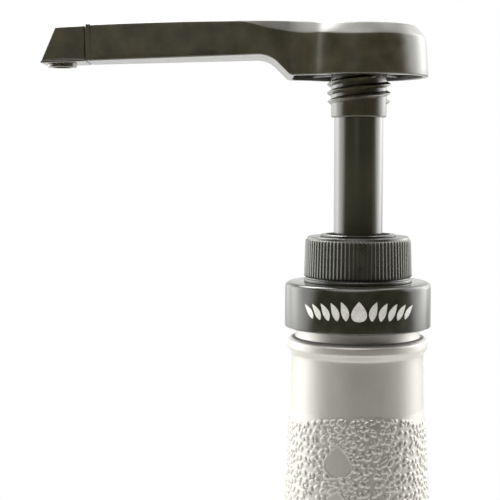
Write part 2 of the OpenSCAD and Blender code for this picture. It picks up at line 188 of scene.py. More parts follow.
def helical_ridge(work, root_r, crest_r, lead, turns, foot_z, start_deg, root_w, crest_w, per_turn=48):
    """A thread ridge with rounded flanks that runs out to nothing at both ends."""
    steps = int(turns * per_turn)
    run_out = per_turn // 10
    flank = 0.12
    rows = []
    for i in range(steps + 1):
        depth = min(1.0, min(i, steps - i) / run_out)
        angle = math.radians(start_deg) + 2 * math.pi * i / per_turn
        z = foot_z + lead * i / per_turn
        r = root_r + (crest_r - root_r) * (0.06 + 0.94 * depth)
        mid_r = root_r + (r - root_r) * 0.8
        half = crest_w / 2 * max(depth, 0.1)
        section = [(root_r, -root_w / 2), (mid_r, -half - flank), (r, -half * 0.5), (r, half * 0.5),
                   (mid_r, half + flank), (root_r, root_w / 2)]
        rows.append([(q * math.cos(angle), q * math.sin(angle), z + dz) for q, dz in section])
    work.loft(rows)


def smooth_step(t):
    """Eases from 0 to 1; takes a number or an array."""
    t = np.clip(t, 0.0, 1.0)
    return t * t * (3 - 2 * t)


# ---------------------------------------------------------------- materials

def new_material(name):
    """An empty node material: the material, its nodes, its links and its shader."""
    material = bpy.data.materials.new(name)
    material.use_nodes = True
    nodes = material.node_tree.nodes
    return material, nodes, material.node_tree.links, nodes["Principled BSDF"]


def noise_node(nodes, links, coord, size_mm, detail=3.0, stretch=None):
    """Noise whose features are about size_mm across."""
    noise = nodes.new("ShaderNodeTexNoise")
    noise.inputs["Scale"].default_value = 1000.0 / size_mm
    noise.inputs["Detail"].default_value = detail
    if stretch:
        mapping = nodes.new("ShaderNodeMapping")
        mapping.inputs["Scale"].default_value = stretch
        links.new(coord, mapping.inputs["Vector"])
        coord = mapping.outputs["Vector"]
    links.new(coord, noise.inputs["Vector"])
    return noise.outputs["Fac"]


def map_range(nodes, links, value, low, high, from_low=0.3, from_high=0.7, smooth=False):
    """Carries a value from one range to another, with soft ends where it is smooth."""
    node = nodes.new("ShaderNodeMapRange")
    if smooth:
        node.interpolation_type = "SMOOTHSTEP"
    node.inputs["From Min"].default_value = from_low
    node.inputs["From Max"].default_value = from_high
    node.inputs["To Min"].default_value = low
    node.inputs["To Max"].default_value = high
    links.new(value, node.inputs["Value"])
    return node.outputs["Result"]


def colour_between(nodes, links, value, dark, light):
    """A colour between two, by a noise value."""
    ramp = nodes.new("ShaderNodeValToRGB")
    ramp.color_ramp.elements[0].position = 0.3
    ramp.color_ramp.elements[0].color = (*dark, 1)
    ramp.color_ramp.elements[1].position = 0.7
    ramp.color_ramp.elements[1].color = (*light, 1)
    links.new(value, ramp.inputs["Fac"])
    return ramp.outputs["Color"]


def bump(nodes, links, shader, height, distance_mm):
    """Fine relief in the surface's shading."""
    node = nodes.new("ShaderNodeBump")
    node.inputs["Strength"].default_value = 1.0
    node.inputs["Distance"].default_value = distance_mm * MM
    links.new(height, node.inputs["Height"])
    links.new(node.outputs["Normal"], shader.inputs["Normal"])


def moulded_plastic(name, dark, light, rough, grain_mm=0.35, grain_depth=0.004, mottle_mm=9.0,
                    specular=0.5):
    """Injection-moulded plastic: faint mottling, a spark-eroded grain and slightly uneven gloss."""
    material, nodes, links, shader = new_material(name)
    coord = nodes.new("ShaderNodeTexCoord").outputs["Object"]
    mottle = noise_node(nodes, links, coord, mottle_mm, 8.0)
    grain = noise_node(nodes, links, coord, grain_mm, 2.0)
    links.new(colour_between(nodes, links, mottle, dark, light), shader.inputs["Base Color"])
    links.new(map_range(nodes, links, mottle, rough[0], rough[1]), shader.inputs["Roughness"])
    shader.inputs["Specular IOR Level"].default_value = specular
    bump(nodes, links, shader, grain, grain_depth)
    return material


def pearl_silver(name):
    """Silver-pigmented blown plastic: fine flake, a soft sheen and faint flow marks."""
    material, nodes, links, shader = new_material(name)
    coord = nodes.new("ShaderNodeTexCoord").outputs["Object"]
    flake = noise_node(nodes, links, coord, 0.22, 2.0)
    flow = noise_node(nodes, links, coord, 14.0, 4.0, (1.0, 1.0, 0.35))
    mix = nodes.new("ShaderNodeMix")
    mix.data_type = "RGBA"
    mix.blend_type = "MULTIPLY"
    mix.inputs["Factor"].default_value = 0.5
    pigment = colour_between(nodes, links, flow, (0.238, 0.233, 0.217), (0.278, 0.272, 0.254))
    sparkle = colour_between(nodes, links, flake, (0.78, 0.78, 0.76), (1.0, 1.0, 1.0))
    links.new(pigment, mix.inputs["A"])
    links.new(sparkle, mix.inputs["B"])
    links.new(mix.outputs["Result"], shader.inputs["Base Color"])
    links.new(map_range(nodes, links, flow, 0.47, 0.53), shader.inputs["Roughness"])
    shader.inputs["Metallic"].default_value = 1.0
    bump(nodes, links, shader, flake, 0.006)
    return material


def drawn_steel(name):
    """Stainless wire and ball steel with fine drawing marks."""
    material, nodes, links, shader = new_material(name)
    coord = nodes.new("ShaderNodeTexCoord").outputs["Object"]
    marks = noise_node(nodes, links, coord, 0.4, 3.0, (1.0, 1.0, 6.0))
    links.new(colour_between(nodes, links, marks, (0.50, 0.51, 0.52), (0.66, 0.67, 0.68)),
              shader.inputs["Base Color"])
    links.new(map_range(nodes, links, marks, 0.16, 0.32), shader.inputs["Roughness"])
    shader.inputs["Metallic"].default_value = 1.0
    bump(nodes, links, shader, marks, 0.003)
    return material


def seal_rubber(name):
    """Matt seal rubber with a light bloom."""
    material, nodes, links, shader = new_material(name)
    coord = nodes.new("ShaderNodeTexCoord").outputs["Object"]
    bloom = noise_node(nodes, links, coord, 2.5, 5.0)
    links.new(colour_between(nodes, links, bloom, (0.045, 0.046, 0.047), (0.085, 0.087, 0.088)),
              shader.inputs["Base Color"])
    links.new(map_range(nodes, links, bloom, 0.6, 0.8), shader.inputs["Roughness"])
    bump(nodes, links, shader, noise_node(nodes, links, coord, 0.3), 0.01)
    return material


def foil_print(name):
    """Pale grey pad print, slightly broken where the ink is thin."""
    material, nodes, links, shader = new_material(name)
    coord = nodes.new("ShaderNodeTexCoord").outputs["Object"]
    ink = noise_node(nodes, links, coord, 0.6, 4.0)
    links.new(colour_between(nodes, links, ink, (0.31, 0.305, 0.29), (0.44, 0.435, 0.415)),
              shader.inputs["Base Color"])
    links.new(map_range(nodes, links, ink, 0.35, 0.5), shader.inputs["Roughness"])
    shader.inputs["Metallic"].default_value = 0.25
    bump(nodes, links, shader, ink, 0.004)
    return material


def pale_floor(name):
    """Painted studio floor with the faintest roller texture."""
    material, nodes, links, shader = new_material(name)
    coord = nodes.new("ShaderNodeTexCoord").outputs["Object"]
    roller = noise_node(nodes, links, coord, 12.0, 4.0)
    links.new(colour_between(nodes, links, roller, (0.58, 0.58, 0.575), (0.62, 0.62, 0.615)),
              shader.inputs["Base Color"])
    shader.inputs["Roughness"].default_value = 0.7
    bump(nodes, links, shader, roller, 0.05)
    return material


HEAD_BLACK = moulded_plastic("head_black", (0.017, 0.0157, 0.009), (0.033, 0.0305, 0.018), (0.21, 0.27),
                             mottle_mm=5.0, specular=0.42)
# Matt plastic for inside the hollow; its colour is darker than head_black as painted shade for the recess
# under the disc
HEAD_MATT_PAINTED_SHADE = moulded_plastic("head_matt_painted_shade", (0.012, 0.011, 0.007), (0.022, 0.020, 0.012), (0.55, 0.65),
                            grain_depth=0.02, specular=0.3)
STEM_BLACK = moulded_plastic("stem_black", (0.017, 0.017, 0.010), (0.022, 0.022, 0.0135), (0.17, 0.23),
                             grain_mm=0.6, grain_depth=0.002)
RING_BLACK = moulded_plastic("ring_black", (0.009, 0.009, 0.0055), (0.016, 0.016, 0.010), (0.13, 0.20),
                             mottle_mm=4.0, specular=0.3)
CAP_BLACK = moulded_plastic("cap_black", (0.011, 0.011, 0.0075), (0.018, 0.018, 0.012), (0.24, 0.32),
                            grain_depth=0.002, mottle_mm=4.0, specular=0.4)
NATURAL = moulded_plastic("natural_plastic", (0.66, 0.66, 0.61), (0.76, 0.76, 0.72), (0.38, 0.50))
SILVER = pearl_silver("pearl_silver")
STEEL = drawn_steel("drawn_steel")
SEAL = seal_rubber("seal_rubber")
PRINT = foil_print("foil_print")
FLOOR = pale_floor("pale_floor")


def place(obj, body, material, slot, *nodes):
    """Gives a piece its material, its body, and the CAD nodes that it replaces."""
    obj.data.materials.clear()
    obj.data.materials.append(material)
    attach(obj, body)
    if nodes:
        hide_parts(*nodes)


# ---------------------------------------------------------------- bottle

PEBBLE_MM = 1.95
PEBBLE_HEIGHT = 0.3
PEBBLE_SEED = 11
TEXTURE_FOOT = 193.0
TEXTURE_TOP = 251.4
TEXTURE_ARCH = 3.7
TEXTURE_MEAN_R = 20.6
BOTTLE_SEGMENTS = 560
# Smooth droplets in the texture: heights of the rows, columns in degrees, width and height of each
DROPLET_ROWS = [242.6, 229.6, 216.6, 203.6]
DROPLET_COLUMNS = [-110.0, 10.0, 130.0]
DROPLET_SIZE = (8.4, 9.6)
DROPLET_RISE = 0.14
# The droplet's outline, widened so that its widest place is the stated width
DROPLET_SWELL = 2.6


def texture_top(angle):
    """The textured band ends in a shallow arch on the two mould halves."""
    return TEXTURE_TOP + TEXTURE_ARCH * np.sin(angle) ** 2


def cell_distances(u, v, around, spacing, seed):
    """Distances to the nearest and second-nearest cell centres of a jittered, wrapped grid."""
    rng = np.random.default_rng(seed)
    columns = round(around / spacing)
    step = around / columns
    rows = int((v.max() - v.min()) / spacing) + 8
    base = v.min() - 4 * spacing
    jitter_u = rng.uniform(-0.33, 0.33, (rows, columns)) * step
    jitter_v = rng.uniform(-0.33, 0.33, (rows, columns)) * spacing
    size = rng.uniform(0.86, 1.22, (rows, columns))
    row = np.floor((v - base) / spacing).astype(int)
    nearest = np.full(u.shape, 1e9)
    second = np.full(u.shape, 1e9)
    for dr in range(-2, 3):
        r = np.clip(row + dr, 0, rows - 1)
        shift = 0.5 * step * (r % 2)
        column = np.floor((u - shift) / step).astype(int)
        for dc in range(-2, 3):
            c = column + dc
            cu = (c + 0.5) * step + shift + jitter_u[r, c % columns]
            cv = base + (r + 0.5) * spacing + jitter_v[r, c % columns]
            d = np.hypot(u - cu, v - cv) * size[r, c % columns]
            second = np.where(d < nearest, nearest, np.minimum(second, d))
            nearest = np.minimum(nearest, d)
    return nearest, second


def droplet_inside(u, v, width, height):
    """How far inside a droplet, point up, each place lies; negative outside it."""
    t = np.clip((height / 2 - v) / height, 0.0, 1.0)
    half = width / 2 * DROPLET_SWELL * t * np.sqrt(np.clip(1 - t, 0.0, 1.0))
    beyond = np.maximum(np.abs(v) - height / 2, 0.0)
    return half - np.abs(u) - 2 * beyond


def pebble_relief(angle, z, radius):
    """Height of the cobbled surface above the bottle's wall, with smooth droplets let into it."""
    around = 2 * math.pi * TEXTURE_MEAN_R
    u = (angle % (2 * math.pi)) / (2 * math.pi) * around
    wobble_u = 0.35 * np.sin(z * 1.3 + 3 * angle) + 0.2 * np.sin(7 * angle + 0.8 * z)
    wobble_v = 0.35 * np.sin(9 * angle + 0.5 * z)
    near, far = cell_distances((u + wobble_u) % around, z + wobble_v, around, PEBBLE_MM, PEBBLE_SEED)
    pebble = smooth_step((0.95 - near) / 0.31) * smooth_step((far - near - 0.07) / 0.28)
    flat = np.zeros_like(z)
    edge = np.zeros_like(z)
    for column in DROPLET_COLUMNS:
        du = ((angle - math.radians(column) + math.pi) % (2 * math.pi) - math.pi) * radius
        for middle in DROPLET_ROWS:
            inside = droplet_inside(du, z - middle, *DROPLET_SIZE)
            flat = np.maximum(flat, smooth_step((inside + 0.35) / 0.5))
            edge = np.maximum(edge, np.exp(-((inside - 0.15) / 0.28) ** 2))
    top = texture_top(angle)
    band = smooth_step((top - z) / 0.9) * smooth_step((z - TEXTURE_FOOT) / 1.5)
    relief = PEBBLE_HEIGHT * pebble * (1 - flat) + DROPLET_RISE * flat * (1 + edge)
    return relief * band


def bottle_wall_radius(z):
    """Outer radius of the plain wall between the shoulder and the bead."""
    heights = [SHOULDER_TOP, 251.8, 254.5, 268.0]
    radii = [NECK_FOOT_R, 19.82, 19.52, NECK_TOP_R]
    return np.interp(z, heights, radii)


def shoulder_curve(low, high, steps):
    """An S from the belly (r, z) in to the foot of the neck (r, z)."""
    points = []
    for i in range(steps + 1):
        t = i / steps
        points.append((low[0] + (high[0] - low[0]) * smooth_step(t), low[1] + (high[1] - low[1]) * t))
    return points


def bottle_profile_below():
    """The outside from the foot, over the label panel and the shoulder."""
    foot = [(27.0, 0.0), (34.6, 0.0)] + arc(34.9, 4.6, 4.6, -86, 0, 10)
    heel = [(BELLY_R, 12.0), (BELLY_R, 21.4)] + arc(39.2, 21.4, 0.3, 30, 60, 2)
    panel = [(39.05, 23.4), (39.0, 26.0), (39.0, 80.0), (39.0, 136.0), (39.05, 138.4)]
    shoulder_foot = [(39.45, 140.0), (BELLY_R, 142.0), (BELLY_R, 150.0)]
    shoulder = shoulder_curve((BELLY_R, SHOULDER_FOOT), (NECK_FOOT_R, SHOULDER_TOP), 28)
    return foot + heel + panel + shoulder_foot + shoulder


def bottle_profile_above():
    """The bead under the ring, then the threaded mouth."""
    bead_r = 20.45
    lower = [(NECK_TOP_R + 1.15 * smooth_step(i / 12), 270.1 + 2.5 * i / 12) for i in range(13)]
    upper = filleted([(bead_r, 272.7, 0), (bead_r, 274.35, 0.9), (NECK_TOP_R, 275.15, 0.5),
                      (18.2, 275.3, 0.1), (18.05, 276.5, 0)], closed=False, steps=7)
    mouth = filleted([(MOUTH_R, 279.0, 0), (MOUTH_R, BOTTLE_TOP, 0.4), (MOUTH_R - 2, BOTTLE_TOP, 0.4),
                      (MOUTH_R - 2, 276.0, 0)], closed=False)
    return lower + upper + mouth


def bottle_inside():
    """The inside from the mouth down, the floor, and the push-up under the foot."""
    down = [(16.2, 274.0), (18.1, 269.0), (18.5, 251.8), (21.7, SHOULDER_TOP)]
    shoulder = shoulder_curve((38.2, 151.0), (21.7, 187.0), 11)[::-1]
    belly = [(37.8, 140.0), (37.8, 80.0), (37.8, 8.0)] + arc(34.6, 4.6, 3.2, 0, -80, 6)
    floor = [(27.2, 1.6), (21.0, 7.0), (0.0, 7.2)]
    under = [(0.0, 6.0), (20.6, 5.8), (26.4, 0.3), (27.0, 0.0)]
    return down + shoulder + belly, floor, under


def make_bottle():
    """The blown bottle: one skin over the outside and inside, with its neck thread."""
    work = Patchwork()
    angles = np.arange(BOTTLE_SEGMENTS) * 2 * math.pi / BOTTLE_SEGMENTS
    cos = np.cos(angles)
    sin = np.sin(angles)

    def plain_row(r, z):
        return [(r * c, r * s, z) for c, s in zip(cos, sin)]

    rows = [plain_row(r, z) for r, z in bottle_profile_below()]
    heights = np.concatenate([np.arange(188.3, 256.4, 0.23), np.arange(257.2, 268.9, 1.6)])
    grid_z, grid_a = np.meshgrid(heights, angles, indexing="ij")
    radius = bottle_wall_radius(grid_z)
    radius = radius + pebble_relief(grid_a, grid_z, radius)
    for i in range(len(heights)):
        rows.append(list(zip(radius[i] * cos, radius[i] * sin, grid_z[i])))
    rows += [plain_row(r, z) for r, z in bottle_profile_above()]
    belly, floor, under = bottle_inside()
    rows += [plain_row(r, z) for r, z in belly + floor]
    work.grid(rows, around=True)
    work.grid([plain_row(r, z) for r, z in under], around=True)
    helical_ridge(work, 17.7, 19.05, SCREW_PITCH, 1.3, 281.3, 0, 2.2, 0.9)
    obj = work.build("bottle_shell", sharp_deg=50)
    place(obj, "bottle", SILVER, "silver_plastic", "bottle")


# ---------------------------------------------------------------- adapter ring and its mark

def make_adapter():
    """The wide ring with its top flange, the small neck on it, and both threads."""
    work = Patchwork()
    profile = filleted([
        (11.3, 288.9, 0.1), (19.4, 288.9, 0.3), (19.4, RING_FOOT, 0.25), (RING_R - 0.02, RING_FOOT, 0.5),
        (RING_R - 0.1, RING_TOP, 1.5), (12.9, RING_TOP, 0.35), (12.5, RING_TOP + 1, 0.2),
        (12.5, SMALL_NECK_TOP, 0.4), (11.3, SMALL_NECK_TOP, 0.3)])
    turned(work, profile, 192)
    helical_ridge(work, 12.2, 13.55, SCREW_PITCH, 1.0, 294.3, 0, 2.2, 0.9)
    helical_ridge(work, 19.7, 18.4, SCREW_PITCH, 1.2, 279.7, 0, 2.2, 0.9)
    obj = work.build("adapter_band", sharp_deg=40)
    place(obj, "adapter", RING_BLACK, "black_plastic", "adapter_ring")


# How far the print stands out of the band's mean radius, and how far it reaches in
PRINT_PROUD = 0.03
PRINT_SUNK = 0.06


def curved_print(work, spine, halves, radius):
    """A thin printed patch wrapped on the band: half-widths on either side of a spine of (u, v)."""
    rows = []
    places = np.linspace(-1, 1, 9)
    for i, ((u, v), half) in enumerate(zip(spine, halves)):
        u0, v0 = spine[max(i - 1, 0)]
        u1, v1 = spine[min(i + 1, len(spine) - 1)]
        length = math.hypot(u1 - u0, v1 - v0)
        side = ((v0 - v1) / length * half, (u1 - u0) / length * half)
        row = []
        for r, across in ((radius + PRINT_PROUD, places), (radius - PRINT_SUNK, places[::-1])):
            for t in across:
                angle = -math.pi / 2 + (u + t * side[0]) / radius
                row.append((r * math.cos(angle), r * math.sin(angle), v + t * side[1]))
        rows.append(row)
    work.loft(rows)


# Leaves of the sprig: foot (u, v) and point (u, v) from the mark's centre, and half-width
LEAVES = [(3.6, -2.6, 5.0, 2.7, 1.05), (6.1, -2.7, 8.0, 2.3, 1.0), (8.7, -2.7, 11.1, 2.0, 0.95),
          (11.3, -2.6, 14.0, 1.7, 0.88), (13.8, -2.4, 16.7, 1.4, 0.8)]


def make_print():
    """A sprig of plain leaves on each side of a drop, in place of lettering."""
    work = Patchwork()
    middle = 284.75
    centre = -1.4
    radius = RING_R - 0.07
    steps = 24
    for side in (-1, 1):
        for u0, v0, u1, v1, half in LEAVES:
            spine = []
            halves = []
            for i in range(steps + 1):
                t = i / steps
                bow = 0.35 * math.sin(math.pi * t)
                spine.append((centre + side * (u0 + (u1 - u0) * t - bow), middle + v0 + (v1 - v0) * t))
                halves.append(half * math.sin(math.pi * t ** 0.85) ** 0.9 + 0.03)
            curved_print(work, spine, halves, radius)
    drop = [(centre, middle - 2.85 + 5.7 * i / steps) for i in range(steps + 1)]
    widths = []
    for i in range(steps + 1):
        t = i / steps
        widths.append(2.15 * DROPLET_SWELL * math.sqrt(t) * (1 - t) + 0.03)
    curved_print(work, drop, widths, radius)
    obj = work.build("band_mark", weld=1e-5)
    place(obj, "adapter", PRINT, None)


# ---------------------------------------------------------------- closure, stem and boss

RIBS = 84


def make_closure():
    """The ribbed screw cap: a plain foot bead, fine grip ribs and a turned rim."""
    work = Patchwork()
    per_rib = 12
    bore_r = 14.0
    count = RIBS * per_rib
    angles = [2 * math.pi * k / count for k in range(count)]
    rib_shape = [0.5 + 0.5 * math.cos(2 * math.pi * k / per_rib) for k in range(count)]
    rows = []

    def row(core, rib, z):
        rows.append([((core + rib * s) * math.cos(a), (core + rib * s) * math.sin(a), z)
                     for a, s in zip(angles, rib_shape)])

    foot = filleted([(bore_r, CLOSURE_FOOT, 0.1), (CLOSURE_R - 0.03, CLOSURE_FOOT, 0.12),
                     (CLOSURE_R - 0.01, CLOSURE_FOOT + 0.72, 0.25), (15.3, CLOSURE_FOOT + 0.98, 0.12),
                     (15.25, CLOSURE_FOOT + 1.3, 0.05)], closed=False)
    for r, z in foot:
        row(r, 0.0, z)
    row(15.3, 0.06, CLOSURE_FOOT + 1.38)
    row(15.46, 0.2, CLOSURE_FOOT + 1.6)
    rib_foot = CLOSURE_FOOT + 1.75
    rib_top = CLOSURE_TOP - 1.2
    for i in range(13):
        row(15.5 - 0.34 * i / 12, 0.22, rib_foot + (rib_top - rib_foot) * i / 12)
    row(15.06, 0.18, CLOSURE_TOP - 0.95)
    row(14.88, 0.05, CLOSURE_TOP - 0.8)
    crest = filleted([(14.8, CLOSURE_TOP - 0.75, 0), (14.7, CLOSURE_TOP, 0.6), (10.55, CLOSURE_TOP, 0.25),
                      (10.5, CLOSURE_TOP - 1.75, 0), (bore_r, CLOSURE_TOP - 1.75, 0.3),
                      (bore_r, CLOSURE_FOOT, 0)], closed=False)
    for r, z in crest:
        row(r, 0.0, z)
    rows.append(rows[0])
    work.grid(rows, around=True)
    helical_ridge(work, 14.3, 12.9, SCREW_PITCH, 1.0, 292.8, 0, 2.0, 0.9)
    obj = work.build("ribbed_closure", sharp_deg=60)
    place(obj, "closure", CAP_BLACK, "black_plastic", "closure")


def make_stem():
    """The smooth tube, narrower where it runs inside the pump."""
    work = Patchwork()
    profile = filleted([(4.8, 278.2, 0.1), (5.5, 278.2, 0.1), (5.5, 288.4, 0), (STEM_R, 288.4, 0.3),
                        (STEM_R, STEM_TOP, 0.4), (4.8, STEM_TOP, 0.2)])
    turned(work, profile, 160)
    obj = work.build("stem_tube")
    place(obj, "plunger", STEM_BLACK, "stem_plastic", "stem")


# ---------------------------------------------------------------- pump head

# Growth of the arm's half-width per millimetre along it, and the fillets between arm and disc
TAPER = 0.0787
ARM_HALF = 11.4
ARM_HALF_AT = -31.0
FILLET = 14.4
# Where the ramp under the arm meets the disc's rim, the lip there, and the pocket's rounded corner
TOE_X = -19.4
TOE_LIP = 0.35
CORNER_R = 5.0
CORNER_W = 8.3
UNDERSIDE_Z = 356.1
UNDERSIDE_SLOPE = 0.031
# The bevel grows from nothing on the arm to its full size round the disc: x, drop, inset
BEVEL_GROWTH = [(-34.5, 0.12, 0.15), (-32.0, 0.5, 0.3), (-26.6, 2.2, 0.75), (-21.5, 3.1, 1.2),
                (-16.5, 3.4, 2.1), (-12.0, 3.5, 3.0)]
# How the bevel rolls over: share of the inset, share of the drop
BEVEL_CURVE = [(0.0, 0.0), (0.02, 0.06), (0.06, 0.12), (0.12, 0.19), (0.45, 0.52), (0.84, 0.88), (0.92, 0.95),
               (1.0, 1.0)]


def arm_half(x):
    """Half the arm's width."""
    return ARM_HALF + TAPER * (x - ARM_HALF_AT)


def arm_top(x):
    """Height of the crown's edge: along the arm, then easing down to the disc's crown."""
    along = CROWN_Z + 0.5 - 1.2 * (min(0.0, x + 35) / 52) ** 2
    return along - 0.85 * smooth_step((x + 25) / 24)


def arm_under(x):
    """Height of the arm's underside."""
    return UNDERSIDE_Z + UNDERSIDE_SLOPE * (x + 30.5)


def foot_height(x):
    """Height of the lowest edge: along the arm, down an S, then round the disc's rim."""
    swoop_x, swoop_r = -29.3, 8.0
    toe_r = 2.0
    ramp_top, ramp_foot = -23.35, -20.89
    if x <= swoop_x:
        return min(arm_under(x), UNDERSIDE_Z + UNDERSIDE_SLOPE * (x - swoop_x))
    if x <= ramp_top:
        return UNDERSIDE_Z - swoop_r + math.sqrt(swoop_r ** 2 - (x - swoop_x) ** 2)
    if x < ramp_foot:
        return 353.45 + (350.96 - 353.45) * (x - ramp_top) / (ramp_foot - ramp_top)
    if x < TOE_X:
        return RIM_Z + toe_r - math.sqrt(toe_r ** 2 - (x - TOE_X) ** 2)
    return RIM_Z


def head_stations():
    """Half of the head's outline at its foot: x, half-width, and the outward normal."""
    q = math.hypot(1, TAPER)
    k = arm_half(0.0) + FILLET * q
    a = 1 + TAPER ** 2
    b = 2 * k * TAPER
    c = k * k - (DISC_R + FILLET) ** 2
    cx = (-b - math.sqrt(b * b - 4 * a * c)) / (2 * a)
    cw = k + TAPER * cx
    n_line = (-TAPER / q, 1 / q)
    x_line = cx - FILLET * n_line[0]
    stations = []
    lengths = list(np.linspace(ARM_END, -34, 34)) + list(np.linspace(-33.4, x_line - 0.35, 34))
    for x in lengths:
        stations.append((x, arm_half(x), *n_line))
    start = math.atan2(-n_line[1], -n_line[0])
    end = math.atan2(-cw, -cx)
    if end > start + math.pi:
        end -= 2 * math.pi
    for i in range(23):
        t = start + (end - start) * i / 22
        px = cx + FILLET * math.cos(t)
        pw = cw + FILLET * math.sin(t)
        stations.append((px, pw, (cx - px) / FILLET, (cw - pw) / FILLET))
    first = math.atan2(stations[-1][1], stations[-1][0])
    for i in range(1, 61):
        t = first * (1 - i / 60)
        stations.append((DISC_R * math.cos(t), DISC_R * math.sin(t), math.cos(t), math.sin(t)))
    return stations


def head_column(x, w, nx, nw):
    """Points up the wall from the inner edge of the foot to the edge of the crown."""
    foot = foot_height(x)
    top = arm_top(x)
    places = [g[0] for g in BEVEL_GROWTH]
    drop = float(np.interp(x, places, [g[1] for g in BEVEL_GROWTH]))
    inset_full = float(np.interp(x, places, [g[2] for g in BEVEL_GROWTH]))
    draft = 0.3 + 0.5 * smooth_step((x + 34.5) / 20.0)
    edge = 0.42
    levels = []
    for k in range(5):
        t = math.radians(90 * k / 4)
        levels.append((edge * (1 - math.sin(t)), foot + edge * (1 - math.cos(t))))
    wall_foot = foot + edge
    wall_top = top - drop
    for k in range(1, 7):
        t = k / 6
        levels.append((draft * t ** 1.3, wall_foot + (wall_top - wall_foot) * t))
    for inset, rise in BEVEL_CURVE[1:]:
        levels.append((draft + inset_full * inset, wall_top + drop * rise))
    return [(x - nx * inset, max(0.0, w - nw * inset), z) for inset, z in levels]


def rounded_corner(x, w):
    """Rounds the corner between the toe and the side wall of the hollow."""
    cx = TOE_X + TOE_LIP + CORNER_R
    reach = math.hypot(x - cx, w - CORNER_W)
    if x < cx and w > CORNER_W and reach > CORNER_R:
        share = CORNER_R / reach
        return cx + (x - cx) * share, CORNER_W + (w - CORNER_W) * share
    return x, w


def head_hollow(outer, normals):
    """The hollow under the disc: rim, skirt, pocket behind the toe, cove and ceiling."""
    rows = []
    lip_lean = 0.22
    cove = [(OPENING_R - 0.15, 354.7), (OPENING_R - 0.3, COVE_Z - 0.4), (OPENING_R - 0.55, COVE_Z + 0.15),
            (COVE_R, CEILING_Z - 0.45), (COVE_R - 0.8, CEILING_Z), (9.0, CEILING_Z), (0.0, CEILING_Z)]
    for (x, w, z), (nx, nw) in zip(outer, normals):
        px, pw = rounded_corner(max(x - nx * SKIRT_T, TOE_X + TOE_LIP), max(0.0, w - nw * SKIRT_T))
        out_x = x - px
        out_w = w - pw
        lean = lip_lean / math.hypot(out_x, out_w)
        points = [(x, w, z)]
        wall = [(lean, RIM_Z), (0.3 * lean, RIM_Z + 0.07), (0.0, RIM_Z + 0.25), (0.0, 352.6), (0.0, 354.3)]
        for share, h in wall:
            points.append((px + share * out_x, pw + share * out_w, h))
        angle = math.atan2(pw, px)
        rows.append(points + [(r * math.cos(angle), r * math.sin(angle), h) for r, h in cove])
    return rows


def radial_rib(work, degrees):
    """A stiffening rib between the boss and the wall, with draft and a rounded foot."""
    a = math.radians(degrees)
    along = (math.cos(a), math.sin(a))
    across = (-math.sin(a), math.cos(a))
    foot = RIM_Z + 0.88
    buried = CEILING_Z + 0.3
    rows = []
    for r, top in ((BOSS_R - 0.3, buried), (12.0, buried), (COVE_R - 0.3, CEILING_Z + 0.1),
                   (OPENING_R - 0.5, COVE_Z + 0.4), (OPENING_R + 0.1, COVE_Z - 0.6)):
        section = [(0.62, top), (0.5, foot + 0.42), (0.36, foot + 0.12), (0.0, foot), (-0.36, foot + 0.12),
                   (-0.5, foot + 0.42), (-0.62, top)]
        rows.append([(r * along[0] + o * across[0], r * along[1] + o * across[1], z) for o, z in section])
    work.loft(rows)


def channel_wall(work):
    """The duct that carries the sauce from the boss into the arm, seen in the disc's hollow."""
    foot = CHANNEL_FOOT
    half = CHANNEL_HALF
    rows = []
    buried = CEILING_Z + 0.3
    for x, top in ((1 - OPENING_R, COVE_Z), (-COVE_R, CEILING_Z), (-12.0, buried), (-5.0, buried)):
        section = [(half + 0.1, top), (half, foot + 0.7), (half - 0.2, foot + 0.2), (half - 0.7, foot)]
        section += [(-y, z) for y, z in reversed(section)]
        rows.append([(x, y, z) for y, z in section])
    work.loft(rows)


def head_crown(columns, spread):
    """The top face, sagging slightly towards the disc's middle."""
    rows = []
    for column in columns:
        x, w, z = column[-1]
        sag = 0.3 * smooth_step((x + 24) / 16)
        rows.append([(x, w * f, z + sag * (1 - f * f)) for f in spread])
    return rows


def head_shell():
    """Walls, crown, arm end, arm underside and the disc's hollow, welded into one skin."""
    work = Patchwork()
    stations = head_stations()
    columns = [head_column(*s) for s in stations]
    spread = [1.0, 0.97, 0.92, 0.84, 0.7, 0.5, 0.25, 0.0]
    work.mirrored_grid(columns)
    work.mirrored_grid(head_crown(columns, spread))
    work.mirrored_grid([[(ARM_END, w * f, z) for f in spread] for x, w, z in columns[0]])

    split = max(i for i, column in enumerate(columns) if column[0][0] <= TOE_X)
    feet = [column[0] for column in columns]
    work.mirrored_grid([[(x, w * f, z) for f in spread] for x, w, z in feet[:split + 1]])

    toe_x, toe_w, _ = feet[split]
    outer = [(toe_x, toe_w * f, RIM_Z) for f in reversed(spread)]
    normals = [(-0.45, 0.0)] * (len(spread) - 1) + [(-0.5, 0.6)]
    outer += [(x, w, RIM_Z) for x, w, _ in feet[split + 1:]]
    normals += [(nx, nw) for _, _, nx, nw in stations[split + 1:]]
    work.mirrored_grid(head_hollow(outer, normals))
    return work.build("head_shell", weld=2e-3, sharp_deg=38)


def head_ribs():
    """The ribs and the duct in the hollow."""
    work = Patchwork()
    for k in range(8):
        radial_rib(work, 45.0 * k)
    channel_wall(work)
    return work.build("head_ribs", sharp_deg=38)


def head_boss():
    """The boss round the stem with its two-start lock thread."""
    work = Patchwork()
    profile = filleted([(STEM_R + 0.03, BOSS_FOOT, 0.15), (BOSS_R - 0.05, BOSS_FOOT, 0.6), (BOSS_R, 344.0, 0),
                        (BOSS_R + 0.1, CEILING_Z - 0.6, 0.6), (BOSS_R + 0.6, CEILING_Z + 0.3, 0),
                        (4.4, CEILING_Z + 0.3, 0), (4.4, 350.0, 0), (STEM_R + 0.03, 350.0, 0)])
    turned(work, profile, 144)
    for start in (150, 330):
        helical_ridge(work, BOSS_R - 0.4, 9.15, LOCK_LEAD, 1.45, RIM_Z - 7.3, start, 2.1, 0.5, 72)
    return work.build("head_boss", sharp_deg=38)


